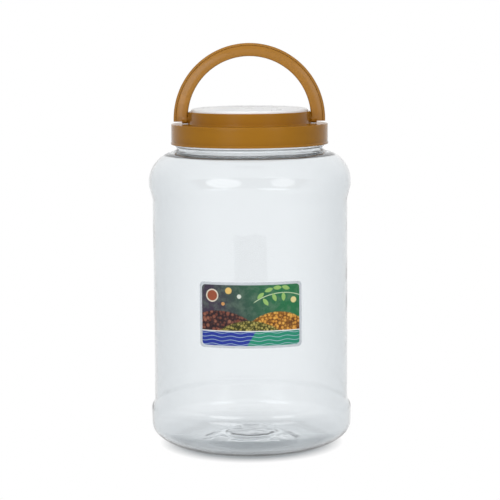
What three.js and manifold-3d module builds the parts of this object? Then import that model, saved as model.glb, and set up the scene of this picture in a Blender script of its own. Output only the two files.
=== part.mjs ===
// Clear five-litre storage jar with a two-part screw lid and a swinging carry handle.
// Millimetres, +Z up. The origin is on the standing plane, under the middle of the jar.
// The label faces -Y, and the handle stands up in the XZ plane.

import * as THREE from 'three';
import { mergeVertices } from 'three/addons/utils/BufferGeometryUtils.js';
import Module from 'manifold-3d';

const wasm = await Module();
wasm.setup();

// Gaps between pieces
const seatGap = 0.3;             // between faces that rest on each other
const lidSlip = 0.3;             // between the inner lid's raised wall and the screw ring
const plugSlip = 0.4;            // between the inner lid's plug and the mouth
const overrun = 1.0;             // how far a cutting body passes through a face
const weld = 0.4;                // how far an added feature sinks into its wall

// Jar body, from the standing plane up
const waistRadius = 80.6;
const bulgeProud = 2.8;          // the foot and shoulder bands stand out from the waist
const footHeight = 18.6;
const footBandHeight = 12.2;
const footStepHeight = 8.0;      // the straight flank from the foot band in to the waist
const waistHeight = 167.0;
const shoulderStepHeight = 10.0;
const shoulderBandHeight = 4.2;
const shoulderHeight = 25.2;
const shoulderCentre = 58.0;     // radius at which the shoulder's dome would be level
const bodyWall = 0.8;

// Jar base
const standRadius = 50.0;        // outer edge of the flat standing ring
const standWidth = 6.0;
const puntHeight = 6.2;          // how far the base is pushed up inside the ring
const puntDiscRadius = 19.5;
const puntDiscRise = 1.3;
const baseWall = 1.2;

// Jar neck
const neckRadius = 60.2;
const neckWall = 2.4;
const neckHeight = 16.8;
const neckFillet = 2.9;
const neckFilletShare = 0.9;     // of the room between shoulder and bead, at most
const beadProud = 1.6;
const beadWidth = 1.8;
const rimRounding = 0.6;

// Screw thread
const threadLead = 6.0;          // rise in one turn
const threadDepth = 1.4;
const threadRootWidth = 2.8;
const threadCrestWidth = 1.4;
const threadRun = 1.1;           // air between the jar's thread and the ring's wall
const threadReach = 0.6;         // air between the ring's thread and the neck
const threadRimDrop = 1.9;       // from the rim down to the middle of the jar's last turn
const jarThreadTurns = 1.25;
const ringThreadTurns = 1.2;
const threadFadeTurns = 0.06;

// Screw ring
const skirtWall = 1.8;
const skirtHeight = 16.5;
const skirtBeadProud = 0.4;
const skirtBeadHeight = 1.4;
const skirtRounding = 0.9;
const ledgeWidth = 14.3;         // from the skirt in to the raised collar
const ledgeThickness = 1.7;
const collarHeight = 10.1;
const collarWall = 1.7;
const collarRounding = 0.5;

// Inner lid and its seal
const gasketThickness = 1.1;
const gasketWidth = 3.2;
const flangeThickness = 1.3;
const flangeInset = 1.2;         // from the ring's wall in to the flange's edge
const lidWall = 1.3;
const lidEdgeRise = 2.1;         // how far the lid's edge stands above the collar
const lidCrown = 2.0;            // rise of the top from its edge to its middle
const lidRounding = 1.6;
const plugDepth = 6.2;
const plugWall = 1.6;
const plugLeadIn = 0.6;

// Carry handle
const handleWidth = 11.8;        // across the arch, as the front shows it
const handleThickness = 7.5;     // from its front face to its back face
const handleBevelWidth = 3.0;
const handleBevelDepth = 1.5;
const handleSlip = 0.5;          // between the handle's legs and the collar
const handleOffset = 0.5;        // the arch's inner curve is centred this far above the pivot
const handleThinning = 1.0;      // how much thinner the arch is at its top than at its legs
const legTail = 2.05;            // how far the legs run on below the pivot
const axleRadius = 2.0;
const axleReach = 4.4;           // from the collar out to the axle's end
const axleSlip = 0.3;
const eyeWidth = 4.8;

// Label
const labelWidth = 84.3;         // measured round the jar
const labelHeight = 52.6;
const labelBottom = 93.5;        // above the standing plane
const labelThickness = 0.3;
const labelCorner = 3.4;

// Facets
const roundSides = 48;
const labelSides = 96;
const smallSides = 20;
const archSteps = 20;
const cornerSteps = 2;
const curveSteps = 8;
const crownSteps = 4;
const easeSteps = 4;
const filletSteps = 4;

// Places and sizes that follow from the values above
const bandRadius = waistRadius + bulgeProud;
const footBandTop = footHeight + footBandHeight;
const waistBottom = footBandTop + footStepHeight;
const waistTop = waistBottom + waistHeight;
const shoulderBandBottom = waistTop + shoulderStepHeight;
const shoulderBandTop = shoulderBandBottom + shoulderBandHeight;
const rimHeight = shoulderBandTop + shoulderHeight + neckHeight;
const mouthRadius = neckRadius - neckWall;

const threadCrestRadius = neckRadius + threadDepth;
const skirtInnerRadius = threadCrestRadius + threadRun;
const skirtRadius = skirtInnerRadius + skirtWall;
const ringThreadCrest = neckRadius + threadReach;
const collarRadius = skirtRadius - ledgeWidth;
const collarInnerRadius = collarRadius - collarWall;

// Heights in the lid are counted from the jar's rim
const gasketBottom = seatGap;
const gasketTop = gasketBottom + gasketThickness;
const flangeBottom = gasketTop + seatGap;
const flangeTop = flangeBottom + flangeThickness;
const ledgeBottom = flangeTop + seatGap;
const ledgeTop = ledgeBottom + ledgeThickness;
const skirtBottom = ledgeTop - skirtHeight;
const collarTop = ledgeTop + collarHeight;
const pivotHeight = ledgeTop + seatGap + handleThickness / 2;
const threadStart = -threadRimDrop - jarThreadTurns * threadLead;
const handleInnerRadius = collarRadius + handleSlip;
const handleOuterRadius = handleInnerRadius + handleWidth;

// Points along a quarter of an ellipse, or any other stretch of it, angles in quarter turns
function ellipseArc(centreR, centreZ, radiusR, radiusZ, from, to, steps) {
  const points = [];
  for (let i = 0; i <= steps; i += 1) {
    const angle = (from + (to - from) * (i / steps)) * (Math.PI / 2);
    points.push([centreR + radiusR * Math.cos(angle), centreZ + radiusZ * Math.sin(angle)]);
  }
  return points;
}

// Points along a smooth change of radius, level with its neighbours at both ends
function easeCurve(startR, startZ, endR, endZ, steps) {
  const points = [];
  for (let i = 0; i <= steps; i += 1) {
    const t = i / steps;
    const eased = (1 - Math.cos(Math.PI * t)) / 2;
    points.push([startR + (endR - startR) * eased, startZ + (endZ - startZ) * t]);
  }
  return points;
}

// Points along a smooth change of height, level at both ends
function easeFloor(startR, startZ, endR, endZ, steps) {
  const turned = easeCurve(startZ, startR, endZ, endR, steps);
  return turned.map(([z, r]) => [r, z]);
}

// A solid from any closed three.js geometry
function solidOf(geometry) {
  const bare = geometry.clone();
  bare.deleteAttribute('normal');
  bare.deleteAttribute('uv');
  const merged = mergeVertices(bare);
  const corners = merged.index.array;
  const kept = [];
  for (let i = 0; i < corners.length; i += 3) {
    const [a, b, c] = [corners[i], corners[i + 1], corners[i + 2]];
    if (a !== b && b !== c && c !== a) kept.push(a, b, c);
  }
  const vertProperties = new Float32Array(merged.attributes.position.array);
  const triVerts = new Uint32Array(kept);
  return new wasm.Manifold(new wasm.Mesh({ numProp: 3, vertProperties, triVerts }));
}

function geometryOf(solid) {
  const mesh = solid.getMesh();
  const geometry = new THREE.BufferGeometry();
  const positions = new Float32Array(mesh.vertProperties);
  geometry.setAttribute('position', new THREE.BufferAttribute(positions, 3));
  geometry.setIndex(new THREE.BufferAttribute(new Uint32Array(mesh.triVerts), 1));
  return geometry;
}

// A round body about Z. The profile runs anticlockwise in radius and height.
function turned(profile, sides) {
  const points = profile.map(([r, z]) => new THREE.Vector2(r, z));
  const lathe = new THREE.LatheGeometry(points, sides);
  lathe.rotateX(Math.PI / 2);
  return solidOf(lathe);
}

// A round bar along X
function barAlongX(radius, fromX, toX, height) {
  const bar = new THREE.CylinderGeometry(radius, radius, Math.abs(toX - fromX), smallSides);
  bar.rotateZ(Math.PI / 2);
  bar.translate((fromX + toX) / 2, 0, height);
  return solidOf(bar);
}

// A screw ridge: a straight bar bent round Z as it climbs. It tapers away at both ends.
function threadRidge({ rootRadius, crestRadius, startAngle, startHeight, turns, sides }) {
  const steps = Math.round(turns * sides);
  const ridge = new THREE.BoxGeometry(1, 1, 1, steps, 1, 1);
  const place = ridge.attributes.position;
  const outward = Math.sign(crestRadius - rootRadius);
  for (let i = 0; i < place.count; i += 1) {
    const along = (place.getX(i) + 1 / 2) * turns;
    const atCrest = place.getZ(i) > 0;
    const side = place.getY(i) * outward;
    const fade = Math.min(1, along / threadFadeTurns, (turns - along) / threadFadeTurns);
    const radius = atCrest
      ? rootRadius + (crestRadius - rootRadius) * fade
      : rootRadius - outward * weld;
    const width = atCrest ? threadCrestWidth : threadRootWidth;
    const angle = startAngle + along * 2 * Math.PI;
    const height = startHeight + along * threadLead + side * width;
    place.setXYZ(i, radius * Math.cos(angle), radius * Math.sin(angle), height);
  }
  return solidOf(ridge);
}

// The neck's root: a fillet that rests on the shoulder's dome and stops short of the bead.
// Turns and angles are in quarter turns.
function neckRoot() {
  const reach = bandRadius - shoulderCentre;
  const onShoulder = (turn) => [
    shoulderCentre + reach * Math.cos(turn * (Math.PI / 2)),
    shoulderBandTop + shoulderHeight * Math.sin(turn * (Math.PI / 2)),
  ];
  const lastTurn = Math.acos((neckRadius - shoulderCentre) / reach) / (Math.PI / 2);
  const beadFoot = rimHeight + skirtBottom - seatGap - beadWidth;
  const room = beadFoot - onShoulder(lastTurn)[1];
  const fillet = Math.min(neckFillet, neckFilletShare * room);
  const centre = neckRadius + fillet;
  let root = { middle: -Infinity };
  for (let turn = 0; turn <= lastTurn; turn += 0.001) {
    const [radius, height] = onShoulder(turn);
    const square = fillet ** 2 - (radius - centre) ** 2;
    const middle = height + Math.sqrt(Math.max(square, 0));
    if (square >= 0 && middle > root.middle) {
      const angle = 4 + Math.atan2(height - middle, radius - centre) / (Math.PI / 2);
      root = { fillet, centre, middle, turn, angle };
    }
  }
  return root;
}

// Jar body
function jarOuterProfile() {
  const root = neckRoot();
  const discHeight = puntHeight + puntDiscRise;
  const slopeTop = puntDiscRadius + puntDiscRise;
  const beadTop = rimHeight + skirtBottom - seatGap;
  const beadRadius = neckRadius + beadProud;
  const beadRound = beadWidth / 3;
  return [
    [0, discHeight],
    [puntDiscRadius, discHeight],
    ...easeFloor(slopeTop, puntHeight, standRadius - standWidth, 0, easeSteps),
    ...ellipseArc(standRadius, footHeight, bandRadius - standRadius, footHeight, -1, 0, curveSteps),
    [bandRadius, footBandTop],
    [waistRadius, waistBottom],
    [waistRadius, waistTop],
    [bandRadius, shoulderBandBottom],
    ...ellipseArc(shoulderCentre, shoulderBandTop, bandRadius - shoulderCentre, shoulderHeight, 0, root.turn,
      curveSteps),
    ...ellipseArc(root.centre, root.middle, root.fillet, root.fillet, root.angle, 2, filletSteps).slice(1),
    [neckRadius, beadTop - beadWidth],
    [beadRadius, beadTop - beadWidth + beadRound],
    [beadRadius, beadTop - beadRound],
    [neckRadius, beadTop],
    ...ellipseArc(neckRadius - rimRounding, rimHeight - rimRounding, rimRounding, rimRounding, 0, 1, cornerSteps),
  ];
}

function jarInnerProfile() {
  const root = neckRoot();
  const innerBand = bandRadius - bodyWall;
  const innerWaist = waistRadius - bodyWall;
  const floorTop = puntHeight + puntDiscRise + baseWall;
  return [
    [mouthRadius, rimHeight],
    ...ellipseArc(root.centre, root.middle, neckWall + root.fillet, bodyWall + root.fillet, 2, root.angle,
      filletSteps),
    ...ellipseArc(shoulderCentre, shoulderBandTop, innerBand - shoulderCentre, shoulderHeight - bodyWall,
      root.turn, 0, curveSteps),
    [innerBand, shoulderBandBottom],
    [innerWaist, waistTop],
    [innerWaist, waistBottom],
    [innerBand, footBandTop],
    ...ellipseArc(standRadius, footHeight, innerBand - standRadius, footHeight - baseWall, 0, -1, curveSteps),
    ...easeFloor(standRadius - standWidth, baseWall, puntDiscRadius, floorTop, easeSteps),
    [0, floorTop],
  ];
}

function jarBody() {
  const shell = turned([...jarOuterProfile(), ...jarInnerProfile()], roundSides);
  const thread = threadRidge({
    rootRadius: neckRadius,
    crestRadius: threadCrestRadius,
    startAngle: 0,
    startHeight: rimHeight + threadStart,
    turns: jarThreadTurns,
    sides: roundSides,
  });
  return geometryOf(shell.add(thread));
}

// Label, a thin sheet wrapped round the front of the waist
function label() {
  const inner = waistRadius + seatGap;
  const outer = inner + labelThickness;
  const labelTop = labelBottom + labelHeight;
  const sleeve = turned([
    [inner, labelBottom - overrun],
    [outer, labelBottom - overrun],
    [outer, labelTop + overrun],
    [inner, labelTop + overrun],
    [inner, labelBottom - overrun],
  ], labelSides);
  const halfChord = outer * Math.sin(labelWidth / outer / 2);
  const outline = new THREE.Shape();
  const corners = [[1, -1, -1], [1, 1, 0], [-1, 1, 1], [-1, -1, 2]];
  const middle = labelBottom + labelHeight / 2;
  for (const [sideX, sideZ, quarter] of corners) {
    const x = sideX * (halfChord - labelCorner);
    const z = middle + sideZ * (labelHeight / 2 - labelCorner);
    const from = quarter * (Math.PI / 2);
    outline.absarc(x, z, labelCorner, from, from + Math.PI / 2, false);
  }
  const cutter = new THREE.ExtrudeGeometry(outline, {
    depth: outer + overrun,
    bevelEnabled: false,
    curveSegments: curveSteps,
  });
  cutter.rotateX(Math.PI / 2);
  return geometryOf(sleeve.intersect(solidOf(cutter)));
}

// Screw ring: a threaded skirt, a flat ledge and a raised collar with two axle stubs
function screwRing() {
  const beadRadius = skirtRadius + skirtBeadProud;
  const beadTop = skirtBottom + skirtBeadHeight;
  const profile = [
    [skirtInnerRadius, skirtBottom],
    [beadRadius, skirtBottom],
    [beadRadius, beadTop],
    [skirtRadius, beadTop + skirtBeadProud],
    ...ellipseArc(skirtRadius - skirtRounding, ledgeTop - skirtRounding, skirtRounding, skirtRounding, 0, 1,
      cornerSteps),
    ...ellipseArc(collarRadius + collarRounding, ledgeTop + collarRounding, collarRounding, collarRounding, 3, 2,
      cornerSteps),
    ...ellipseArc(collarRadius - collarRounding, collarTop - collarRounding, collarRounding, collarRounding, 0, 1,
      cornerSteps),
    [collarInnerRadius, collarTop],
    [collarInnerRadius, ledgeBottom],
    [skirtInnerRadius, ledgeBottom],
    [skirtInnerRadius, skirtBottom],
  ];
  const startTurn = -ringThreadTurns / 4;
  const thread = threadRidge({
    rootRadius: skirtInnerRadius,
    crestRadius: ringThreadCrest,
    startAngle: startTurn * 2 * Math.PI,
    startHeight: threadStart + (startTurn + 1 / 2) * threadLead,
    turns: ringThreadTurns,
    sides: roundSides,
  });
  let ring = turned(profile, roundSides).add(thread);
  for (const side of [-1, 1]) {
    const root = side * (collarRadius - collarWall / 2);
    const tip = side * (collarRadius + axleReach);
    ring = ring.add(barAlongX(axleRadius, root, tip, pivotHeight));
  }
  return geometryOf(ring);
}

// Inner lid: a crowned top, a straight wall, a flange under the ring's ledge and a plug
function innerLid() {
  const wallRadius = collarInnerRadius - lidSlip;
  const wallInner = wallRadius - lidWall;
  const edgeTop = collarTop + lidEdgeRise;
  const flangeRadius = skirtInnerRadius - flangeInset;
  const plugRadius = mouthRadius - plugSlip;
  const plugInner = plugRadius - plugWall;
  const plugBottom = flangeBottom - plugDepth;
  const crownRadius = wallRadius - lidRounding;
  const inside = ellipseArc(0, edgeTop - lidWall, crownRadius, lidCrown, 1, 0, crownSteps);
  const outside = ellipseArc(0, edgeTop, crownRadius, lidCrown, 0, 1, crownSteps);
  const edge = ellipseArc(crownRadius, edgeTop - lidRounding, lidRounding, lidRounding, 0, 1, cornerSteps);
  return geometryOf(turned([
    ...inside,
    [wallInner, edgeTop - lidRounding - lidWall],
    [wallInner, flangeBottom],
    [plugInner, flangeBottom],
    [plugInner, plugBottom],
    [plugRadius - plugLeadIn, plugBottom],
    [plugRadius, plugBottom + plugLeadIn],
    [plugRadius, flangeBottom],
    [flangeRadius, flangeBottom],
    [flangeRadius, flangeTop],
    [wallRadius, flangeTop],
    ...edge.slice(0, -1),
    ...outside,
  ], roundSides));
}

// Seal, a flat foam ring under the flange
function sealGasket() {
  const inner = mouthRadius;
  const outer = inner + gasketWidth;
  return geometryOf(turned([
    [inner, gasketBottom],
    [outer, gasketBottom],
    [outer, gasketTop],
    [inner, gasketTop],
    [inner, gasketBottom],
  ], roundSides));
}

// Carry handle, counted from its pivot axis
function carryHandle() {
  const outerCentre = handleOffset - handleThinning;
  const outerDip = Math.asin((legTail + outerCentre) / handleOuterRadius);
  const innerDip = Math.asin((legTail + handleOffset) / handleInnerRadius);
  const outline = new THREE.Shape();
  outline.absarc(0, outerCentre, handleOuterRadius, -outerDip, Math.PI + outerDip, false);
  outline.absarc(0, handleOffset, handleInnerRadius, Math.PI + innerDip, -innerDip, true);
  outline.closePath();
  const arch = new THREE.ExtrudeGeometry(outline, {
    depth: handleThickness - 2 * handleBevelDepth,
    curveSegments: archSteps,
    bevelEnabled: true,
    bevelThickness: handleBevelDepth,
    bevelSize: handleBevelWidth,
    bevelOffset: -handleBevelWidth,
    bevelSegments: 1,
  });
  arch.rotateX(Math.PI / 2);
  arch.translate(0, handleThickness / 2 - handleBevelDepth, 0);
  let handle = solidOf(arch);
  const eyeRadius = handleThickness / 2;
  const holeRadius = axleRadius + axleSlip;
  const holeEnd = collarRadius + axleReach + axleSlip;
  for (const side of [-1, 1]) {
    const face = side * handleInnerRadius;
    const eye = barAlongX(eyeRadius, face, side * (handleInnerRadius + eyeWidth), 0);
    const hole = barAlongX(holeRadius, side * (handleInnerRadius - overrun), side * holeEnd, 0);
    handle = handle.add(eye).subtract(hole);
  }
  return geometryOf(handle);
}

// Materials
const clearPlastic = new THREE.MeshStandardMaterial({
  color: 0xe6edf0, roughness: 0.06, metalness: 0, transparent: true, opacity: 0.3,
});
const labelFilm = new THREE.MeshStandardMaterial({ color: 0x2f7a5b, roughness: 0.35, metalness: 0 });
const tanPlastic = new THREE.MeshStandardMaterial({ color: 0xa66f2d, roughness: 0.3, metalness: 0 });
const whitePlastic = new THREE.MeshStandardMaterial({ color: 0xe9eaea, roughness: 0.4, metalness: 0 });
const foam = new THREE.MeshStandardMaterial({ color: 0xf4f2ec, roughness: 0.9, metalness: 0 });

function piece(name, geometry, material) {
  const mesh = new THREE.Mesh(geometry, material);
  mesh.name = name;
  return mesh;
}

const jar = new THREE.Group();
jar.add(piece('jar_body', jarBody(), clearPlastic));
jar.add(piece('label', label(), labelFilm));

const lid = new THREE.Group();
lid.position.z = rimHeight;
lid.add(piece('inner_lid', innerLid(), whitePlastic));
lid.add(piece('seal_gasket', sealGasket(), foam));
lid.add(piece('screw_ring', screwRing(), tanPlastic));

const handle = piece('handle', carryHandle(), tanPlastic);
handle.position.z = pivotHeight;
lid.add(handle);

const storageJar = new THREE.Group();
storageJar.add(jar, lid);

export default storageJar;
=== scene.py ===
"""Clear five-litre storage jar with a two-part screw lid and a swinging carry handle.

Each mesh is drawn in millimetres, standing on the floor with its label facing -Y,
and is turned into metres when it is finished. Lamps and camera are placed in metres.
"""
import math

import bmesh
import bpy
from mathutils import Matrix, Vector, noise


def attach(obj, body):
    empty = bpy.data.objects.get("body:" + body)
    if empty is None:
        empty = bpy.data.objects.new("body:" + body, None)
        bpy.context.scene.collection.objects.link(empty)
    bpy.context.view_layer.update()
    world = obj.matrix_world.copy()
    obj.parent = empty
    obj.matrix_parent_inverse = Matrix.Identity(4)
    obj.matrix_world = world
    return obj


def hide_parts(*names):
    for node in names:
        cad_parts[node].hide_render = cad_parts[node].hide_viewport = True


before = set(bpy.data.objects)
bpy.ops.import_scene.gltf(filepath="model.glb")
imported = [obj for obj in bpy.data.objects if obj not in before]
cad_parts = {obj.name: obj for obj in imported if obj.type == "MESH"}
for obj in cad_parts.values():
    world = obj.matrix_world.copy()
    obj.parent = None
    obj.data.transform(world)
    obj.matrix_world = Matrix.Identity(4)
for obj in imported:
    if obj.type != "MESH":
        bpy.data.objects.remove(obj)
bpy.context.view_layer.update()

MM = 0.001
TAU = 2 * math.pi
ROUND_STEPS = 160

# Jar body
WAIST_RADIUS = 80.6
BAND_RADIUS = 83.4
BODY_WALL = 0.8
BASE_WALL = 1.2
FOOT_TOP = 18.6
FOOT_BAND_TOP = 30.8
WAIST_BOTTOM = 38.8
WAIST_TOP = 205.8
WAIST_BEND = 1.2
SHOULDER_BAND_BOTTOM = 215.8
SHOULDER_BAND_TOP = 220.0
BAND_BEND = 0.8
SHOULDER_TOP = 245.2
SHOULDER_CENTRE = 58.0
SHOULDER_END = 79.6
STAND_OUTER = 50.0
STAND_INNER = 44.0
NECK_RADIUS = 60.2
MOUTH_RADIUS = 57.8
RIM_HEIGHT = 262.0
RIM_ROUND = 0.6
BEAD_MIDDLE = 249.3
BEAD_PROUD = 1.6
BEAD_HALF_HEIGHT = 0.9
NECK_FILLET = 2.9
ROOT_HEIGHT = 247.64
ROOT_START = 259.7
ROOT_THICKENING = 0.7
ROOT_BLEND_OUTER = 70.0
ROOT_BLEND_WIDTH = 4.0

# Pushed-up middle of the base, with the share, number and turn of each wave of creases
PUNT_HEIGHT = 6.2
PUNT_DISC_RADIUS = 19.5
PUNT_DISC_HEIGHT = 7.5
PUNT_STEP_INWARD = 2.5
PUNT_STEP_OUTWARD = 3.5
PUNT_STEP_SHIFT = 0.3
CREASE_GAP = 2.4
CREASE_DEPTH = 0.4
CREASE_WAVES = ((1.0, 7, 0.9), (0.5, 4, 2.2))
BLOTCH_DEPTH = 0.9
BLOTCH_SCALE = 0.11
BLOTCH_SLICE = 3.0
DISC_BLOTCH_DEPTH = 0.5
DISC_BLOTCH_EDGE = 3.0

# Screw threads
THREAD_LEAD = 6.0
THREAD_ROOT = 2.8
THREAD_CREST = 1.4
THREAD_FADE = 0.06
JAR_THREAD = {"depth": 1.4, "turns": 1.25, "start_turn": 0.0, "start_height": 252.6}
RING_THREAD = {"depth": -1.9, "turns": 1.2, "start_turn": -0.3, "start_height": 253.8}

# Screw ring
SKIRT_INNER = 62.7
SKIRT_RADIUS = 64.5
SKIRT_BOTTOM = 250.5
SKIRT_BEAD_RADIUS = 64.9
SKIRT_BEAD_TOP = 251.9
SKIRT_BEAD_SLOPE = 0.4
LEDGE_BOTTOM = 265.3
LEDGE_TOP = 267.0
COLLAR_RADIUS = 50.2
COLLAR_INNER = 48.5
COLLAR_TOP = 277.1
RING_ROUNDING = 0.75

# Inner lid and seal
LID_WALL_RADIUS = 48.2
LID_WALL_INNER = 46.9
LID_WALL_INNER_DROP = 2.9
LID_EDGE_TOP = 279.2
LID_EDGE_FOOT = 278.0
LID_CROWN = 2.0
LID_WALL = 1.3
LID_DOME_RADIUS = 46.6
LID_DOME_INSET = 1.0
LID_DOME_START = 6
LID_DOME_END = 70
LID_RECESS = 0.5
LID_RECESS_STEP = 0.7
LID_RECESS_CROWN = 1.98
LID_ROUNDING = 0.25
FLANGE_BOTTOM = 263.7
FLANGE_TOP = 265.0
FLANGE_RADIUS = 61.5
PLUG_RADIUS = 57.4
PLUG_INNER = 55.8
PLUG_BOTTOM = 257.5
PLUG_CHAMFER = 0.6
SEAL_INNER = 57.8
SEAL_OUTER = 61.0
SEAL_BOTTOM = 262.3
SEAL_TOP = 263.4
SEAL_ROUNDING = 0.2

# Carry handle and its axles, with half of the handle's section from its inside out, as the
# distance across it and the distance from its middle plane
PIVOT_HEIGHT = 271.05
ARCH_INNER = 50.7
ARCH_WIDTH = 11.8
ARCH_SECTION = (
    (0, 2.45), (0.25, 3.05), (0.75, 3.55), (1.4, 3.75), (9.1, 2.5), (9.3, 2.35), (9.5, 1.7),
    (9.7, 1.7), (9.9, 2.35), (10.2, 2.35), (11.2, 1.45), (11.65, 1.1), (11.8, 0.65),
)
ARCH_DIP = 6
ARCH_STEPS = 84
ARCH_LIFT = 0.5
ARCH_THINNING = 1.0
ARCH_ROUNDING = 0.7
LEG_TAIL = 2.05
AXLE_RADIUS = 2.0
AXLE_SUNK = 0.85
AXLE_TIP = 54.6
AXLE_ROUNDING = 0.4
AXLE_PAD_RADIUS = 5.3
AXLE_PAD_SUNK = 0.8
AXLE_PAD_PROUD = 0.3
EYE_RADIUS = 3.65
EYE_SETBACK = 0.02
EYE_END = 55.5
EYE_ROUNDING = 0.35
EYE_HOLE_RADIUS = 2.3
EYE_HOLE_OVERCUT = 1.0
EYE_HOLE_END = 54.9

# Label
LABEL_INNER = 80.7
LABEL_THICKNESS = 0.25
LABEL_WIDTH = 84.3
LABEL_BOTTOM = 93.5
LABEL_HEIGHT = 52.6
LABEL_CORNER = 3.4
LABEL_BORDER = 1.9
LABEL_CUTS = 48
PRINT_CORNER = 3.0
PRINT_EDGE = 0.3

# Heaps of seeds on the print: centre, radius, seed size, and dark, middle, pale and gap shades
SEED_HEAPS = (
    ((64, -4), 33, 2.3, (150, 96, 34), (206, 138, 52), (232, 178, 84), (84, 48, 20)),
    ((16, -12), 42, 2.9, (58, 34, 36), (116, 62, 50), (150, 98, 78), (30, 20, 26)),
    ((41, -18), 40, 2.0, (84, 82, 30), (146, 134, 62), (188, 176, 104), (46, 48, 18)),
)

# Stem of the sprig as part of a circle, and its leaves with their centres and turns
STEM_CENTRE = (68, 4)
STEM_RADII = (40.4, 39.8)
LEAF_RADIUS = 4.6
LEAF_SHIFT = 3.0
LEAVES = (
    ((50, 42), 0.75), ((56.5, 46.5), 0.35), ((63.5, 48.2), 0.05), ((70.5, 48), -0.3),
    ((54, 37), 2.2), ((61, 40.6), 1.95), ((68.5, 40.8), 1.6),
)

# Plain discs on the print: centre, radius and shade
PRINT_DISCS = (
    ((11, 42), 5.2, (222, 214, 196)), ((11, 42), 4.2, (150, 78, 52)),
    ((24.5, 46), 2.6, (226, 190, 110)), ((33, 41.5), 1.7, (214, 222, 210)),
    ((77, 38), 2.4, (228, 214, 150)), ((20, 35.5), 1.4, (206, 150, 92)),
)

# Painted shade rings on the glass, round the neck's root, where the wall also thickens, and a
# painted shadow under the neck's bead: window of radii, window of heights and shade
PAINTED_SHADE_RINGS = (
    ((67.2, 68.0, 69.4, 70.3), (235.0, 236.0, 300.0, 301.0), (0.94, 0.91, 0.89, 1.0)),
    ((57.0, 57.5, 61.6, 61.8), (248.5, 248.7, 249.2, 249.4), (0.66, 0.63, 0.61, 1.0)),
)

# Studio
FLOOR_RADIUS = 6000.0
FLOOR_DROP = 0.2
FLOOR_GREY = 0.78
LAMP_AIM = (0, 0, 0.17)
LAMP_GLOW = 1.15
MIRRORED_SHARE = 0.55
FILL_STRENGTH = 0.2
CAMERA_LENS = 124.7
CAMERA_PLACE = (-0.00026, -1.430, 0.3409)
CAMERA_TILT = 7.134
CAMERA_ROLL = -0.413


# Profiles, as points of radius and height

def arc(centre, radii, start, end, steps):
    """Points along an ellipse, from one angle to another in degrees."""
    points = []
    for i in range(steps + 1):
        angle = math.radians(start + (end - start) * i / steps)
        points.append((centre[0] + radii[0] * math.cos(angle),
                       centre[1] + radii[1] * math.sin(angle)))
    return points


def ease(start, end, steps, level=False):
    """Points along a smooth change, upright at both ends, or level at both ends."""
    points = []
    for i in range(steps + 1):
        part = i / steps
        eased = (1 - math.cos(math.pi * part)) / 2
        across, up = (part, eased) if level else (eased, part)
        points.append((start[0] + (end[0] - start[0]) * across,
                       start[1] + (end[1] - start[1]) * up))
    return points


def straight(start, end, steps):
    """Points along a line, without its two ends."""
    return [(start[0] + (end[0] - start[0]) * i / steps,
             start[1] + (end[1] - start[1]) * i / steps) for i in range(1, steps)]


def bend(before, corner, after, reach):
    """Points round a corner, from this far before it to this far after it."""
    ends = []
    for other in (before, after):
        share = reach / math.dist(corner, other)
        ends.append([c + (o - c) * share for c, o in zip(corner, other)])
    points = []
    steps = 5
    for i in range(steps + 1):
        part = i / steps
        points.append(tuple((1 - part) ** 2 * a + 2 * part * (1 - part) * c + part ** 2 * b
                            for a, c, b in zip(ends[0], corner, ends[1])))
    return points


def smooth(part):
    """A soft change from 0 to 1, level at both ends."""
    part = min(1.0, max(0.0, part))
    return part * part * (3 - 2 * part)


def thickened(points):
    """The shoulder's inner wall, lowered near the neck, where the blown wall is thicker."""
    return [(radius, height - ROOT_THICKENING
             * smooth((ROOT_BLEND_OUTER - radius) / ROOT_BLEND_WIDTH))
            for radius, height in points]


# Mesh building

def spun(profile):
    """A round body about Z from its closed profile."""
    bm = bmesh.new()
    verts = [bm.verts.new((radius, 0, height)) for radius, height in profile]
    edges = [bm.edges.new(pair) for pair in zip(verts, verts[1:])]
    if profile[0][0] > 0:
        edges.append(bm.edges.new((verts[-1], verts[0])))
    bmesh.ops.spin(bm, geom=verts + edges, cent=(0, 0, 0), axis=(0, 0, 1),
                   angle=TAU, steps=ROUND_STEPS, use_merge=True, use_duplicate=False)
    bmesh.ops.remove_doubles(bm, verts=bm.verts, dist=1e-4)
    bmesh.ops.recalc_face_normals(bm, faces=bm.faces)
    return bm


def soften(bm, width, segments, sharper_than=60):
    """Rounds every edge whose faces meet at more than this many degrees."""
    limit = math.radians(sharper_than)
    edges = [edge for edge in bm.edges
             if len(edge.link_faces) == 2 and edge.calc_face_angle() > limit]
    bmesh.ops.bevel(bm, geom=edges, offset=width, offset_type="OFFSET",
                    segments=segments, profile=0.5, affect="EDGES",
                    clamp_overlap=True, material=-1)


def pivot_rod(radius, start, end, steps=40, rounding=0.0):
    """A round rod on the handle's pivot axis, with both rims rounded if asked."""
    bm = bmesh.new()
    bmesh.ops.create_cone(bm, cap_ends=True, segments=steps, radius1=radius,
                          radius2=radius, depth=abs(end - start))
    if rounding:
        soften(bm, rounding, segments=3)
    bmesh.ops.rotate(bm, verts=bm.verts, cent=(0, 0, 0),
                     matrix=Matrix.Rotation(math.pi / 2, 3, "Y"))
    bmesh.ops.translate(bm, verts=bm.verts, vec=((start + end) / 2, 0, PIVOT_HEIGHT))
    return bm


def drawn(bm, name, materials=(), smooth_below=180):
    """The mesh as an object in metres."""
    bmesh.ops.scale(bm, verts=bm.verts, vec=(MM, MM, MM))
    mesh = bpy.data.meshes.new(name)
    bm.to_mesh(mesh)
    bm.free()
    for material in materials:
        mesh.materials.append(material)
    mesh.polygons.foreach_set("use_smooth", [True] * len(mesh.polygons))
    if smooth_below < 180:
        mesh.set_sharp_from_angle(angle=math.radians(smooth_below))
    piece = bpy.data.objects.new(name, mesh)
    bpy.context.scene.collection.objects.link(piece)
    return piece


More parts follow.
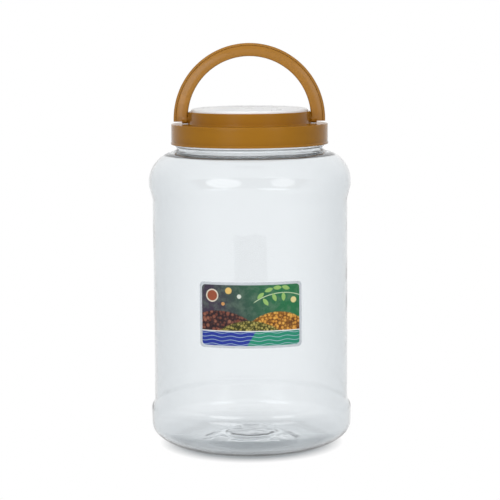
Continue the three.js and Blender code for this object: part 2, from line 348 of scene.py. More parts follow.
def combine(piece, tools, smooth_below):
    """Joins tools to a piece or cuts them from it, each with its operation."""
    for tool, operation in tools:
        change = piece.modifiers.new(tool.name, "BOOLEAN")
        change.object = tool
        change.operation = operation
        change.solver = "EXACT"
    bpy.context.view_layer.update()
    graph = bpy.context.evaluated_depsgraph_get()
    shaped = bpy.data.meshes.new_from_object(piece.evaluated_get(graph))
    piece.modifiers.clear()
    old = piece.data
    piece.data = shaped
    shaped.name = old.name
    bpy.data.meshes.remove(old)
    for tool, _ in tools:
        spare = tool.data
        bpy.data.objects.remove(tool)
        bpy.data.meshes.remove(spare)
    shaped.set_sharp_from_angle(angle=math.radians(smooth_below))


def fitted(piece, body, node):
    """Puts a finished piece on its body in place of its node."""
    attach(piece, body)
    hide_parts(node)


# Shapes

def thread_relief(angle, height, thread):
    """How much of its full depth a screw thread has at one place."""
    relief = 0.0
    turn = (angle / TAU - thread["start_turn"]) % 1
    while turn <= thread["turns"]:
        fade = min(1.0, turn / THREAD_FADE, (thread["turns"] - turn) / THREAD_FADE)
        away = abs(height - thread["start_height"] - turn * THREAD_LEAD)
        flank = (THREAD_ROOT / 2 - away) / ((THREAD_ROOT - THREAD_CREST) / 2)
        relief = max(relief, fade * smooth(flank))
        turn += 1
    return relief


def raise_thread(bm, wall_radius, thread, bottom, top):
    """Moves the wall's points out or in along a screw thread."""
    for vert in bm.verts:
        radius = math.hypot(vert.co.x, vert.co.y)
        if abs(radius - wall_radius) > 0.01 or not bottom < vert.co.z < top:
            continue
        angle = math.atan2(vert.co.y, vert.co.x)
        grown = radius + thread["depth"] * thread_relief(angle, vert.co.z, thread)
        vert.co.x *= grown / radius
        vert.co.y *= grown / radius


def jar_profile():
    """The jar's section: its outside from the middle of the base up, then its inside."""
    floor_top = PUNT_DISC_HEIGHT + BASE_WALL
    step_start = PUNT_DISC_RADIUS - PUNT_STEP_INWARD
    step_end = PUNT_DISC_RADIUS + PUNT_STEP_OUTWARD
    inner_start = step_start - PUNT_STEP_SHIFT
    inner_end = step_end - PUNT_STEP_SHIFT
    inner_band = BAND_RADIUS - BODY_WALL
    root = (NECK_RADIUS + NECK_FILLET, ROOT_HEIGHT)
    bead_top = BEAD_MIDDLE + BEAD_HALF_HEIGHT
    rim_foot = RIM_HEIGHT - RIM_ROUND
    dome = (SHOULDER_CENTRE, SHOULDER_BAND_TOP)
    rise = SHOULDER_TOP - SHOULDER_BAND_TOP
    outer = [(BAND_RADIUS, FOOT_TOP), (BAND_RADIUS, FOOT_BAND_TOP), (WAIST_RADIUS, WAIST_BOTTOM),
             (WAIST_RADIUS, WAIST_TOP), (BAND_RADIUS, SHOULDER_BAND_BOTTOM),
             (BAND_RADIUS, SHOULDER_BAND_TOP)]
    inner = [(radius - BODY_WALL, height) for radius, height in reversed(outer)]
    return [
        (0, PUNT_DISC_HEIGHT),
        *straight((0, PUNT_DISC_HEIGHT), (step_start, PUNT_DISC_HEIGHT), 6),
        *ease((step_start, PUNT_DISC_HEIGHT), (step_end, PUNT_HEIGHT), 12, level=True),
        *ease((step_end, PUNT_HEIGHT), (STAND_INNER, 0), 20, level=True)[1:],
        *arc((STAND_OUTER, FOOT_TOP), (BAND_RADIUS - STAND_OUTER, FOOT_TOP), -90, 0, 26),
        *ease(outer[1], outer[2], 14),
        *straight(outer[2], outer[3], 16),
        *bend(*outer[2:5], WAIST_BEND),
        *bend(*outer[3:6], BAND_BEND),
        *straight(outer[4], outer[5], 4),
        *arc(dome, (BAND_RADIUS - SHOULDER_CENTRE, rise), 0, SHOULDER_END, 30),
        *arc(root, (NECK_FILLET, NECK_FILLET), ROOT_START, 180, 8)[1:],
        *arc((NECK_RADIUS, BEAD_MIDDLE), (BEAD_PROUD, BEAD_HALF_HEIGHT), -90, 90, 10),
        *straight((NECK_RADIUS, bead_top), (NECK_RADIUS, rim_foot), 34),
        *arc((NECK_RADIUS - RIM_ROUND, rim_foot), (RIM_ROUND, RIM_ROUND), 0, 90, 5),
        *arc((MOUTH_RADIUS + RIM_ROUND, rim_foot), (RIM_ROUND, RIM_ROUND), 90, 180, 5),
        *straight((MOUTH_RADIUS, rim_foot), (MOUTH_RADIUS, ROOT_HEIGHT), 4),
        *arc(root, (root[0] - MOUTH_RADIUS, BODY_WALL + ROOT_THICKENING + NECK_FILLET),
             180, ROOT_START, 8),
        *thickened(arc(dome, (inner_band - SHOULDER_CENTRE, rise - BODY_WALL),
                       SHOULDER_END, 0, 30)),
        *bend(*inner[0:3], BAND_BEND),
        *bend(*inner[1:4], WAIST_BEND),
        *straight(inner[2], inner[3], 16),
        *ease(inner[3], inner[4], 14),
        *arc((STAND_OUTER, FOOT_TOP), (inner_band - STAND_OUTER, FOOT_TOP - BASE_WALL),
             0, -90, 26),
        *ease((STAND_INNER, BASE_WALL), (inner_end, PUNT_HEIGHT + BASE_WALL), 20, level=True),
        *ease((inner_end, PUNT_HEIGHT + BASE_WALL), (inner_start, floor_top),
              12, level=True)[1:],
        *straight((inner_start, floor_top), (0, floor_top), 6),
        (0, floor_top),
    ]


def clear_jar(material):
    """The blown bottle, one wall from the base's middle over the rim and back."""
    bm = spun(jar_profile())
    raise_thread(bm, NECK_RADIUS, JAR_THREAD, BEAD_MIDDLE, RIM_HEIGHT - RIM_ROUND)
    flute_base(bm)
    return drawn(bm, "clear_jar", [material])


def flute_base(bm):
    """Uneven creases and hollows that run out from the base's disc, as blowing leaves them."""
    start, end = PUNT_DISC_RADIUS + CREASE_GAP, STAND_INNER
    for vert in bm.verts:
        radius = math.hypot(vert.co.x, vert.co.y)
        if vert.co.z > PUNT_DISC_HEIGHT + BASE_WALL + 0.1 or radius > end:
            continue
        blotch = noise.noise(Vector((vert.co.x * BLOTCH_SCALE, vert.co.y * BLOTCH_SCALE,
                                     BLOTCH_SLICE)))
        if radius < start:
            share = min(1.0, (start - radius) / DISC_BLOTCH_EDGE)
            vert.co.z += DISC_BLOTCH_DEPTH * blotch * share
            continue
        angle = math.atan2(vert.co.y, vert.co.x)
        swell = math.sin(math.pi * (radius - start) / (end - start)) ** 2
        crease = sum(share * math.cos(number * angle + turn)
                     for share, number, turn in CREASE_WAVES)
        vert.co.z += swell * (CREASE_DEPTH * crease + BLOTCH_DEPTH * blotch)


def front_label(materials):
    """A film label with round corners, bent to the waist: print, clear border and back."""
    bm = bmesh.new()
    bmesh.ops.create_grid(bm, x_segments=1, y_segments=1, size=0.5)
    bmesh.ops.scale(bm, verts=bm.verts, vec=(LABEL_WIDTH, LABEL_HEIGHT, 1))
    bmesh.ops.bevel(bm, geom=bm.verts[:], offset=LABEL_CORNER, offset_type="OFFSET",
                    segments=8, profile=0.5, affect="VERTICES", material=-1)
    bmesh.ops.inset_region(bm, faces=bm.faces[:], thickness=LABEL_BORDER, use_boundary=True,
                           use_even_offset=True)
    for face in bm.faces:
        face.material_index = 0 if len(face.verts) > 4 else 1
    for i in range(1, LABEL_CUTS):
        place = (i / LABEL_CUTS - 0.5) * LABEL_WIDTH
        bmesh.ops.bisect_plane(bm, geom=bm.verts[:] + bm.edges[:] + bm.faces[:], dist=1e-5,
                               plane_co=(place, 0, 0), plane_no=(1, 0, 0))
    uv_layer = bm.loops.layers.uv.new("label_uv")
    for face in bm.faces:
        for loop in face.loops:
            loop[uv_layer].uv = (loop.vert.co.x / LABEL_WIDTH + 0.5,
                                 loop.vert.co.y / LABEL_HEIGHT + 0.5)
    front = bm.faces[:]
    back = bmesh.ops.extrude_face_region(bm, geom=front, use_keep_orig=True)
    bmesh.ops.translate(bm, verts=[v for v in back["geom"] if isinstance(v, bmesh.types.BMVert)],
                        vec=(0, 0, LABEL_THICKNESS))
    middle = LABEL_BOTTOM + LABEL_HEIGHT / 2
    for vert in bm.verts:
        radius = LABEL_INNER + vert.co.z
        angle = vert.co.x / LABEL_INNER
        vert.co = Vector((radius * math.sin(angle), -radius * math.cos(angle),
                          middle + vert.co.y))
    bmesh.ops.recalc_face_normals(bm, faces=bm.faces)
    for face in bm.faces:
        face.normal_update()
        centre = face.calc_center_median()
        outward = face.normal.x * centre.x + face.normal.y * centre.y
        if outward < -0.5 and face.material_index == 0:
            face.material_index = 2
    return drawn(bm, "front_label", materials, smooth_below=40)


def cap_ring(material):
    """The screw ring: threaded skirt, flat ledge, raised collar and two axle stubs."""
    bead_end = SKIRT_BEAD_TOP + SKIRT_BEAD_SLOPE
    bm = spun([
        (SKIRT_BEAD_RADIUS, SKIRT_BOTTOM),
        (SKIRT_BEAD_RADIUS, SKIRT_BEAD_TOP),
        (SKIRT_RADIUS, bead_end),
        *straight((SKIRT_RADIUS, bead_end), (SKIRT_RADIUS, LEDGE_TOP), 4),
        (SKIRT_RADIUS, LEDGE_TOP),
        *straight((SKIRT_RADIUS, LEDGE_TOP), (COLLAR_RADIUS, LEDGE_TOP), 8),
        (COLLAR_RADIUS, LEDGE_TOP),
        *straight((COLLAR_RADIUS, LEDGE_TOP), (COLLAR_RADIUS, COLLAR_TOP), 6),
        (COLLAR_RADIUS, COLLAR_TOP),
        (COLLAR_INNER, COLLAR_TOP),
        (COLLAR_INNER, LEDGE_BOTTOM),
        (SKIRT_INNER, LEDGE_BOTTOM),
        *straight((SKIRT_INNER, LEDGE_BOTTOM), (SKIRT_INNER, SKIRT_BOTTOM), 40),
        (SKIRT_INNER, SKIRT_BOTTOM),
    ])
    soften(bm, RING_ROUNDING, segments=5)
    raise_thread(bm, SKIRT_INNER, RING_THREAD, SKIRT_BOTTOM, LEDGE_BOTTOM)
    ring = drawn(bm, "cap_ring", [material], smooth_below=35)
    tools = []
    for side in (-1, 1):
        stub = pivot_rod(AXLE_RADIUS, side * (COLLAR_RADIUS - AXLE_SUNK), side * AXLE_TIP,
                         rounding=AXLE_ROUNDING)
        tools.append((drawn(stub, "axle_stub"), "UNION"))
        pad = pivot_rod(AXLE_PAD_RADIUS, side * (COLLAR_RADIUS - AXLE_PAD_SUNK),
                        side * (COLLAR_RADIUS + AXLE_PAD_PROUD), steps=56)
        tools.append((drawn(pad, "axle_pad"), "UNION"))
    combine(ring, tools, smooth_below=35)
    return ring


def white_disc(material):
    """The inner lid: crowned top with a shallow round recess, wall, flange and plug."""
    start = math.radians(LID_DOME_START)
    foot_radius = LID_DOME_RADIUS * math.cos(start)
    foot_height = LID_EDGE_TOP + LID_CROWN * math.sin(start)
    edge = arc((foot_radius, LID_EDGE_FOOT),
               (LID_WALL_RADIUS - foot_radius, foot_height - LID_EDGE_FOOT), 0, 90, 8)
    dome = arc((0, LID_EDGE_TOP), (LID_DOME_RADIUS, LID_CROWN),
               LID_DOME_START, LID_DOME_END, 12)[1:]
    step_radius, step_height = dome[-1]
    recess_radius = step_radius - LID_RECESS_STEP
    recess = arc((0, LID_EDGE_TOP - LID_RECESS), (recess_radius, LID_RECESS_CROWN),
                 30, 90, 4)[1:-1]
    inside_foot = LID_EDGE_TOP - LID_WALL - LID_RECESS
    inside = arc((0, inside_foot), (LID_DOME_RADIUS - LID_DOME_INSET, LID_CROWN),
                 90, 20, 12)[1:]
    bm = spun([
        (0, inside_foot + LID_CROWN),
        *inside,
        (LID_WALL_INNER, LID_EDGE_TOP - LID_WALL_INNER_DROP),
        (LID_WALL_INNER, FLANGE_BOTTOM),
        (PLUG_INNER, FLANGE_BOTTOM),
        (PLUG_INNER, PLUG_BOTTOM),
        (PLUG_RADIUS - PLUG_CHAMFER, PLUG_BOTTOM),
        (PLUG_RADIUS, PLUG_BOTTOM + PLUG_CHAMFER),
        (PLUG_RADIUS, FLANGE_BOTTOM),
        (FLANGE_RADIUS, FLANGE_BOTTOM),
        (FLANGE_RADIUS, FLANGE_TOP),
        (LID_WALL_RADIUS, FLANGE_TOP),
        *edge,
        *dome,
        (recess_radius, step_height - LID_RECESS),
        *recess,
        (0, LID_EDGE_TOP + LID_CROWN - LID_RECESS),
    ])
    soften(bm, LID_ROUNDING, segments=2)
    return drawn(bm, "white_disc", [material], smooth_below=35)


def foam_seal(material):
    """The flat foam ring between the inner lid's flange and the jar's rim."""
    bm = spun([
        (SEAL_INNER, SEAL_BOTTOM), (SEAL_OUTER, SEAL_BOTTOM),
        (SEAL_OUTER, SEAL_TOP), (SEAL_INNER, SEAL_TOP),
    ])
    soften(bm, SEAL_ROUNDING, segments=2)
    return drawn(bm, "foam_seal", [material], smooth_below=35)


def carry_handle(material):
    """A bevelled half ring with an eye at the foot of each leg."""
    section = [*ARCH_SECTION, *[(across, -depth) for across, depth in reversed(ARCH_SECTION)]]
    bm = bmesh.new()
    verts = [bm.verts.new((ARCH_INNER + across, depth, 0)) for across, depth in section]
    edges = [bm.edges.new((verts[i - 1], verts[i])) for i in range(len(verts))]
    dip = math.radians(ARCH_DIP)
    bmesh.ops.rotate(bm, verts=bm.verts, cent=(0, 0, 0), matrix=Matrix.Rotation(dip, 3, "Y"))
    bmesh.ops.spin(bm, geom=verts + edges, cent=(0, 0, 0), axis=(0, -1, 0),
                   angle=math.pi + 2 * dip, steps=ARCH_STEPS, use_duplicate=False)
    for vert in bm.verts:
        across = math.hypot(vert.co.x, vert.co.z) - ARCH_INNER
        vert.co.z += PIVOT_HEIGHT + ARCH_LIFT - ARCH_THINNING * across / ARCH_WIDTH
    bmesh.ops.bisect_plane(bm, geom=bm.verts[:] + bm.edges[:] + bm.faces[:], dist=1e-4,
                           plane_co=(0, 0, PIVOT_HEIGHT - LEG_TAIL), plane_no=(0, 0, -1),
                           clear_outer=True)
    bmesh.ops.holes_fill(bm, edges=[edge for edge in bm.edges if edge.is_boundary], sides=0)
    bmesh.ops.recalc_face_normals(bm, faces=bm.faces)
    soften(bm, ARCH_ROUNDING, segments=3, sharper_than=65)
    arch = drawn(bm, "carry_handle", [material], smooth_below=30)
    tools = []
    for side in (-1, 1):
        eye = pivot_rod(EYE_RADIUS, side * (ARCH_INNER + EYE_SETBACK), side * EYE_END,
                        steps=56, rounding=EYE_ROUNDING)
        tools.append((drawn(eye, "eye_boss"), "UNION"))
    for side in (-1, 1):
        hole = pivot_rod(EYE_HOLE_RADIUS, side * (ARCH_INNER - EYE_HOLE_OVERCUT),
                         side * EYE_HOLE_END)
        tools.append((drawn(hole, "eye_hole"), "DIFFERENCE"))
    combine(arch, tools, smooth_below=30)
    return arch


# Materials

def tone(red, green, blue):
    """A colour as written on screen, from 0 to 255, in the shader's own scale."""
    linear = []
    for value in (red, green, blue):
        part = value / 255
        linear.append(part / 12.92 if part <= 0.04045 else ((part + 0.055) / 1.055) ** 2.4)
    return (*linear, 1.0)


class Finish:
    """Adds shader nodes to a new material, world or lamp, and joins them up."""

    def __init__(self, owner):
        owner.use_nodes = True
        self.owner = owner
        self.tree = owner.node_tree
        self.tree.nodes.clear()

    def add(self, kind, inputs=None, **settings):
        """A new node, with each input joined to a socket or set to a value."""
        node = self.tree.nodes.new("ShaderNode" + kind)
        for name, value in settings.items():
            setattr(node, name, value)
        for key, value in (inputs or {}).items():
            if isinstance(value, bpy.types.NodeSocket):
                self.tree.links.new(value, node.inputs[key])
            else:
                node.inputs[key].default_value = value
        return node

    def math(self, operation, first, second=0.0):
        """One number from two."""
        return self.add("Math", {0: first, 1: second}, operation=operation).outputs[0]

    def product(self, first, *others):
        """Several numbers multiplied."""
        for other in others:
            first = self.math("MULTIPLY", first, other)
        return first

    def opposite(self, value):
        """1 less a number."""
        return self.math("SUBTRACT", 1.0, value)

    def vector(self, operation, first, second=(0, 0, 0)):
        """A vector from two, or a number where the operation gives one."""
        node = self.add("VectorMath", {0: first, 1: second}, operation=operation)
        return node.outputs["Value" if operation in ("LENGTH", "DISTANCE") else "Vector"]

    def mixed(self, factor, first, second, blend="MIX"):
        """Two colours mixed."""
        node = self.add("Mix", {0: factor, 6: first, 7: second}, data_type="RGBA",
                        blend_type=blend)
        return node.outputs[2]

    def ramp(self, value, low, high, from_low=0.0, from_high=1.0):
        """A number that changes from low to high while the value crosses its range."""
        node = self.add("MapRange", {"Value": value, "From Min": from_low, "From Max": from_high,
                                     "To Min": low, "To Max": high})
        return node.outputs[0]

    def window(self, length, start, full, last, end):
        """1 from full to last and 0 outside start to end, all in millimetres."""
        return self.product(self.ramp(length, 0.0, 1.0, start * MM, full * MM),
                            self.ramp(length, 1.0, 0.0, last * MM, end * MM))

    def noise(self, place, scale, detail, roughness=0.5):
        """A cloudy pattern."""
        node = self.add("TexNoise", {"Vector": place, "Scale": scale, "Detail": detail,
                                     "Roughness": roughness})
        return node.outputs["Fac"]

    def place(self):
        """Where a point lies on its object."""
        return self.add("TexCoord").outputs["Object"]

    def bump(self, height, distance, strength):
        """Fine relief that only the light sees."""
        node = self.add("Bump", {"Height": height, "Distance": distance, "Strength": strength})
        return node.outputs["Normal"]

    def surface(self, shader, output="OutputMaterial"):
        """Joins the last shader to the output and gives what it belongs to."""
        self.tree.links.new(shader.outputs[0], self.add(output).inputs["Surface"])
        return self.owner


def seen_rays(finish):
    """1 for a ray that looks at the background, straight or by gloss or through clear plastic."""
    rays = finish.add("LightPath")
    seen = finish.math("MAXIMUM", rays.outputs["Is Camera Ray"], rays.outputs["Is Glossy Ray"])
    return finish.math("MAXIMUM", seen, rays.outputs["Is Transmission Ray"])


def clear_plastic():
    """Clear blown plastic, faintly blue-grey and greyer at a slant, that lets the lamps through.

    It is tinted where it is thick: at the heel and at the gate mark in the base's middle.
    Rings round the neck are painted shade: a painted shadow under the neck's bead, and
    painted shade round the neck's root, where the wall also thickens. In the neck's fillet
    part of the light passes straight on.
    """
    finish = Finish(bpy.data.materials.new("clear_plastic"))
    place = finish.place()
    waves = finish.noise(place, 38.0, 1.0)
    slant = finish.add("LayerWeight", {"Blend": 0.5}).outputs["Facing"]
    height = finish.add("SeparateXYZ", {0: place}).outputs[2]
    radius = finish.vector("LENGTH", finish.vector("MULTIPLY", place, (1, 1, 0)))
    neck = finish.ramp(height, 1.0, 0.25, (SHOULDER_TOP - 25) * MM, (SHOULDER_TOP - 10) * MM)
    slanted = finish.product(finish.ramp(slant, 0.0, 1.0, 0.08, 0.85), neck)
    tint = finish.mixed(slanted, (0.905, 0.925, 0.938, 1.0), (0.66, 0.69, 0.71, 1.0))
    heel = finish.ramp(radius, 0.0, 1.0, (STAND_INNER - 4) * MM, (STAND_OUTER + 5) * MM)
    heel = finish.product(finish.ramp(height, 1.0, 0.0, 1 * MM, 10 * MM), heel)
    tint = finish.mixed(heel, tint, (0.84, 0.845, 0.85, 1.0), "MULTIPLY")
    gate = finish.product(finish.ramp(radius, 1.0, 0.0, 18.0 * MM, 19.6 * MM),
                          finish.ramp(height, 1.0, 0.0, 11 * MM, 12 * MM),
                          finish.ramp(finish.noise(place, 160.0, 2.0), 0.35, 1.0, 0.35, 0.6))
    tint = finish.mixed(gate, tint, (0.70, 0.705, 0.715, 1.0), "MULTIPLY")
    # Painted shade: darken the glass in the rings round the neck
    for radii, heights, shade in PAINTED_SHADE_RINGS:
        ring = finish.product(finish.window(radius, *radii), finish.window(height, *heights))
        tint = finish.mixed(ring, tint, shade, "MULTIPLY")
    glass = finish.add("BsdfPrincipled", {
        "Base Color": tint, "Transmission Weight": 1.0, "IOR": 1.5,
        "Roughness": finish.ramp(finish.noise(place, 90.0, 3.0), 0.01, 0.05, 0.35, 0.7),
        "Normal": finish.bump(waves, 0.0012, 0.12),
    })
    passing = finish.add("BsdfTransparent", {"Color": (0.93, 0.945, 0.955, 1.0)})
    rays = finish.add("LightPath")
    lit = finish.math("MAXIMUM", rays.outputs["Is Shadow Ray"], rays.outputs["Is Diffuse Ray"])
    fillet = finish.product(finish.window(radius, 57.0, 57.5, 64.0, 66.5),
                            finish.ramp(height, 0.12, 0.55, 245.0 * MM, 246.4 * MM),
                            finish.ramp(height, 1.0, 0.0, 248.0 * MM, 248.4 * MM))
    lit = finish.math("MAXIMUM", lit, fillet)
    return finish.surface(finish.add("MixShader", {0: lit, 1: glass.outputs[0],
                                                   2: passing.outputs[0]}))


def moulded(name, colour, roughness, depth=0.0, gloss=0.5, grain=0.35):
    """Moulded plastic with slight flow streaks, a painted highlight on sharp edges, painted
    shade in hollows and a fine skin.

    Depth is how much light scatters inside it, and grain how much its skin shows.
    """
    finish = Finish(bpy.data.materials.new(name))
    place = finish.place()
    streaks = finish.add("Mapping", {"Vector": place, "Scale": (9.0, 9.0, 60.0)}).outputs[0]
    flow = finish.ramp(finish.noise(streaks, 2.0, 4.0, 0.6), 0.965, 1.035, 0.3, 0.7)
    shade = finish.add("HueSaturation", {"Color": colour, "Value": flow}).outputs[0]
    sharpness = finish.add("NewGeometry").outputs["Pointiness"]
    painted_edge_highlight = tuple(min(1.0, c * 1.5 + 0.03) for c in colour[:3]) + (1.0,)
    painted_hollow_shade = (0.25, 0.22, 0.2, 1.0)
    # Painted highlight: convex edges paler, in place of the lamps' glints on rounded edges
    shade = finish.mixed(finish.ramp(sharpness, 0.0, 0.3, 0.51, 0.58), shade, painted_edge_highlight)
    # Painted shade: concave hollows and grooves darker, by pointiness
    shade = finish.mixed(finish.ramp(sharpness, 0.55, 0.0, 0.43, 0.49), shade, painted_hollow_shade,
                         "MULTIPLY")
    skin = finish.noise(place, 900.0, 2.0)
    return finish.surface(finish.add("BsdfPrincipled", {
        "Base Color": shade,
        "Roughness": finish.ramp(finish.noise(place, 120.0, 4.0), roughness - 0.05,
                                 roughness + 0.07, 0.3, 0.7),
        "Normal": finish.bump(skin, 0.00005, grain),
        "IOR": 1.49,
        "Specular IOR Level": gloss,
        "Subsurface Weight": depth,
        "Subsurface Radius": (0.004, 0.004, 0.004),
    }))


def foam():
    """Off-white closed-cell foam with small pores."""
    finish = Finish(bpy.data.materials.new("foam"))
    place = finish.place()
    cells = finish.add("TexVoronoi", {"Vector": place, "Scale": 1800.0}).outputs["Distance"]
    tint = finish.mixed(finish.noise(place, 300.0, 3.0), tone(232, 228, 216), tone(246, 244, 238))
    return finish.surface(finish.add("BsdfPrincipled", {
        "Base Color": tint, "Roughness": 0.88, "Normal": finish.bump(cells, 0.0002, 0.6),
    }))


def label_print():
    """A plain print: heaps of round seeds under a leafy sprig, over a band of waves."""
    finish = Finish(bpy.data.materials.new("label_print"))
    flat = finish.add("UVMap", uv_map="label_uv").outputs[0]
    in_mm = finish.vector("MULTIPLY", flat, (LABEL_WIDTH, LABEL_HEIGHT, 0))
    parts = finish.add("SeparateXYZ", {0: in_mm})
    across, up = parts.outputs[0], parts.outputs[1]

    def disc(centre, radius, edge=0.25):
        away = finish.vector("DISTANCE", in_mm, (*centre, 0))
        return finish.ramp(away, 1.0, 0.0, radius - edge, radius + edge)

    def seeds(size, dark, middle, pale, gap):
        cells = finish.add("TexVoronoi", {"Vector": in_mm, "Scale": 1 / size, "Randomness": 0.7})
        kind = finish.add("SeparateColor", {0: cells.outputs["Color"]}).outputs[0]
        skin = finish.mixed(kind, middle, pale)
        rim = finish.ramp(cells.outputs["Distance"], 0.0, 1.0, 0.34, 0.62)
        return finish.mixed(rim, skin, finish.mixed(kind, gap, dark))

    slant = finish.math("ADD", across, finish.product(up, 0.35))
    picture = finish.mixed(finish.ramp(slant, 0.0, 1.0, 26.0, 84.0),
                           tone(62, 52, 70), tone(36, 112, 70))
    cloudy = finish.noise(in_mm, 0.16, 3.0)
    picture = finish.mixed(finish.ramp(cloudy, 0.0, 0.4, 0.45, 0.75), picture, tone(118, 142, 122))
    for centre, radius, size, *shades in SEED_HEAPS:
        heap = seeds(size, *[tone(*shade) for shade in shades])
        picture = finish.mixed(disc(centre, radius, 0.5), picture, heap)

    outer, inner = [disc(STEM_CENTRE, radius, 0.15) for radius in STEM_RADII]
    stem = finish.product(outer, finish.opposite(inner), finish.ramp(across, 0.0, 1.0, 44, 46))
    picture = finish.mixed(stem, picture, tone(196, 216, 178))
    for (x, y), turn in LEAVES:
        off = (LEAF_SHIFT * math.sin(turn), LEAF_SHIFT * math.cos(turn))
        leaf = finish.product(disc((x + off[0], y - off[1]), LEAF_RADIUS),
                              disc((x - off[0], y + off[1]), LEAF_RADIUS))
        picture = finish.mixed(leaf, picture, tone(148, 188, 108))
    for centre, radius, shade in PRINT_DISCS:
        picture = finish.mixed(disc(centre, radius), picture, tone(*shade))

    side = finish.math("SUBTRACT", across, finish.product(up, 0.6))
    band = finish.mixed(finish.ramp(side, 0.0, 1.0, 37.6, 38.4),
                        tone(38, 56, 150), tone(40, 140, 112))
    swell = finish.product(finish.math("SINE", finish.product(across, 0.42)), 0.55)
    rows = finish.math("PINGPONG", finish.math("ADD", up, swell), 1.55)
    band = finish.mixed(finish.ramp(rows, 0.75, 0.0, 0.12, 0.34), band, tone(176, 204, 220))
    picture = finish.mixed(finish.ramp(up, 1.0, 0.0, 13.9, 14.2), picture, tone(232, 236, 234))
    picture = finish.mixed(finish.ramp(up, 1.0, 0.0, 13.1, 13.4), picture, band)

    reach = finish.vector("ABSOLUTE", finish.vector("SUBTRACT", in_mm,
                                                    (LABEL_WIDTH / 2, LABEL_HEIGHT / 2, 0)))
    inset = LABEL_BORDER + PRINT_CORNER
    inside = (LABEL_WIDTH / 2 - inset, LABEL_HEIGHT / 2 - inset, 0)
    over = finish.vector("MAXIMUM", finish.vector("SUBTRACT", reach, inside))
    beyond = finish.vector("LENGTH", over)
    picture = finish.mixed(finish.ramp(beyond, 0.0, 1.0, PRINT_CORNER - PRINT_EDGE, PRINT_CORNER),
                           picture, tone(204, 211, 217))
    return finish.surface(finish.add("BsdfPrincipled", {
        "Base Color": picture, "Specular IOR Level": 0.25,
        "Roughness": finish.ramp(finish.noise(finish.place(), 260.0, 3.0), 0.2, 0.3, 0.3, 0.7),
    }))


def label_back():
    """The label's white backing, seen through the jar from behind."""
    finish = Finish(bpy.data.materials.new("label_back"))
    fibres = finish.noise(finish.place(), 700.0, 4.0)
    tint = finish.mixed(fibres, tone(206, 210, 212), tone(226, 229, 230))
    return finish.surface(finish.add("BsdfPrincipled", {"Base Color": tint, "Roughness": 0.6}))


def label_film():
    """The unprinted border of the film, milky and half clear."""
    finish = Finish(bpy.data.materials.new("label_film"))
    haze = finish.noise(finish.place(), 500.0, 3.0)
    tint = finish.mixed(haze, tone(196, 204, 212), tone(222, 228, 232))
    return finish.surface(finish.add("BsdfPrincipled", {"Base Color": tint, "Roughness": 0.25,
                                                        "Alpha": 0.72}))


# The object

tan = tone(157, 106, 22)
ring_plastic = moulded("ring_plastic", tan, roughness=0.2, gloss=0.15)
handle_plastic = moulded("handle_plastic", tan, roughness=0.2, gloss=0.4)
white_plastic = moulded("white_plastic", tone(241, 242, 243), roughness=0.3, depth=0.08,
                        grain=0.04)

fitted(clear_jar(clear_plastic()), "jar", "jar_body")
fitted(front_label([label_print(), label_film(), label_back()]), "jar", "label")
fitted(white_disc(white_plastic), "inner_lid", "inner_lid")
fitted(foam_seal(foam()), "inner_lid", "seal_gasket")
fitted(cap_ring(ring_plastic), "screw_ring", "screw_ring")
fitted(carry_handle(handle_plastic), "handle", "handle")


# Floor, light and camera

def studio_floor():
    """A pale floor that keeps the soft shadow near the object and fades to white.

    Seen through the clear base it also fades behind the jar's middle.
    """
    bm = bmesh.new()
    bmesh.ops.create_circle(bm, cap_ends=True, segments=64, radius=FLOOR_RADIUS)
    bmesh.ops.translate(bm, verts=bm.verts, vec=(0, 0, -FLOOR_DROP))
    finish = Finish(bpy.data.materials.new("floor_white"))
    away = finish.vector("LENGTH", finish.place())
    back = finish.add("SeparateXYZ", {0: finish.place()}).outputs[1]
    behind = finish.ramp(back, 0.0, 1.0, -6 * MM, 20 * MM)
    through = finish.add("LightPath").outputs["Is Transmission Ray"]
    fade = finish.math("MAXIMUM", finish.ramp(away, 0.0, 1.0, 60 * MM, 77 * MM),
                       finish.product(behind, through))
    lit = finish.add("BsdfDiffuse", {"Color": (FLOOR_GREY, FLOOR_GREY, FLOOR_GREY, 1.0)})
    white = finish.add("Emission", {"Color": (1.0, 1.0, 1.0, 1.0), "Strength": 1.0})
    both = finish.add("MixShader", {0: finish.product(seen_rays(finish), fade),
                                    1: lit.outputs[0], 2: white.outputs[0]})
    floor = drawn(bm, "studio_floor", [finish.surface(both)])


def soft_glow(data):
    """Fades a lamp to its edge, hides it behind clear plastic and dims it in reflections."""
    finish = Finish(data)
    spot = finish.add("NewGeometry").outputs["Parametric"]
    away = finish.vector("DISTANCE", spot, (0.5, 0.5, 0))
    rays = finish.add("LightPath")
    mirrored = finish.math("MINIMUM", rays.outputs["Glossy Depth"], 1.0)
    straight_through = finish.product(rays.outputs["Is Transmission Ray"],
                                      finish.opposite(mirrored))
    reflected = finish.math("MAXIMUM", rays.outputs["Is Glossy Ray"], mirrored)
    glow = finish.product(finish.ramp(away, LAMP_GLOW, 0.0, 0.40, 0.60),
                          finish.opposite(straight_through),
                          finish.ramp(reflected, 1.0, MIRRORED_SHARE))
    finish.surface(finish.add("Emission", {"Strength": glow}), "OutputLight")


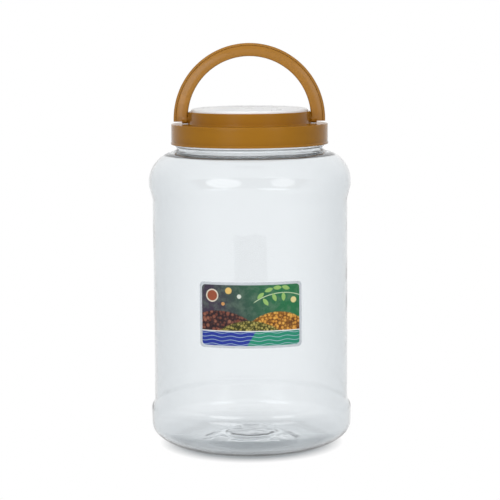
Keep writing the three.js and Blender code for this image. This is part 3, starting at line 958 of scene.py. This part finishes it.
def soft_lamp(name, azimuth, height, distance, width, tall, power,
              shape="RECTANGLE", shines=True):
    """A soft lamp that faces the jar from an angle round it, 0 being the front."""
    data = bpy.data.lights.new(name, "AREA")
    data.shape = shape
    data.size = width
    data.size_y = tall
    data.energy = power
    if shines:
        soft_glow(data)
    lamp = bpy.data.objects.new(name, data)
    angle = math.radians(azimuth)
    lamp.location = (distance * math.sin(angle), -distance * math.cos(angle), height)
    aim = Vector(LAMP_AIM) - lamp.location
    lamp.rotation_euler = aim.to_track_quat("-Z", "Y").to_euler()
    lamp.visible_camera = False
    lamp.visible_glossy = shines
    lamp.visible_transmission = shines
    bpy.context.scene.collection.objects.link(lamp)


def studio_world():
    """An even pale studio. What looks at the background sees plain white."""
    world = bpy.data.worlds.new("studio")
    bpy.context.scene.world = world
    finish = Finish(world)
    strength = finish.ramp(seen_rays(finish), FILL_STRENGTH, 1.0)
    finish.surface(finish.add("Background", {"Color": (1.0, 1.0, 1.0, 1.0),
                                             "Strength": strength}), "OutputWorld")


def photo_camera():
    """The camera, in front of the jar and a little above its lid."""
    data = bpy.data.cameras.new("photo_camera")
    data.lens = CAMERA_LENS
    data.sensor_width = 36.0
    data.clip_end = 50.0
    camera = bpy.data.objects.new("photo_camera", data)
    tilt = Matrix.Rotation(math.radians(90 - CAMERA_TILT), 4, "X")
    roll = Matrix.Rotation(math.radians(CAMERA_ROLL), 4, "Z")
    camera.matrix_world = Matrix.Translation(CAMERA_PLACE) @ tilt @ roll
    bpy.context.scene.collection.objects.link(camera)
    bpy.context.scene.camera = camera


studio_floor()
soft_lamp("lamp_left", azimuth=-30, height=0.73, distance=1.9, width=1.45, tall=1.2,
          power=11.3, shape="ELLIPSE")
soft_lamp("lamp_right", azimuth=38, height=0.73, distance=1.9, width=1.0, tall=1.1, power=6.8)
soft_lamp("lamp_front", azimuth=4, height=0.95, distance=2.1, width=1.4, tall=1.0,
          power=11.3, shines=False)
soft_lamp("lamp_above", azimuth=0, height=2.3, distance=0.2, width=1.5, tall=1.5,
          power=17.5, shines=False)
studio_world()
photo_camera()
bpy.context.scene.view_settings.view_transform = "Standard"
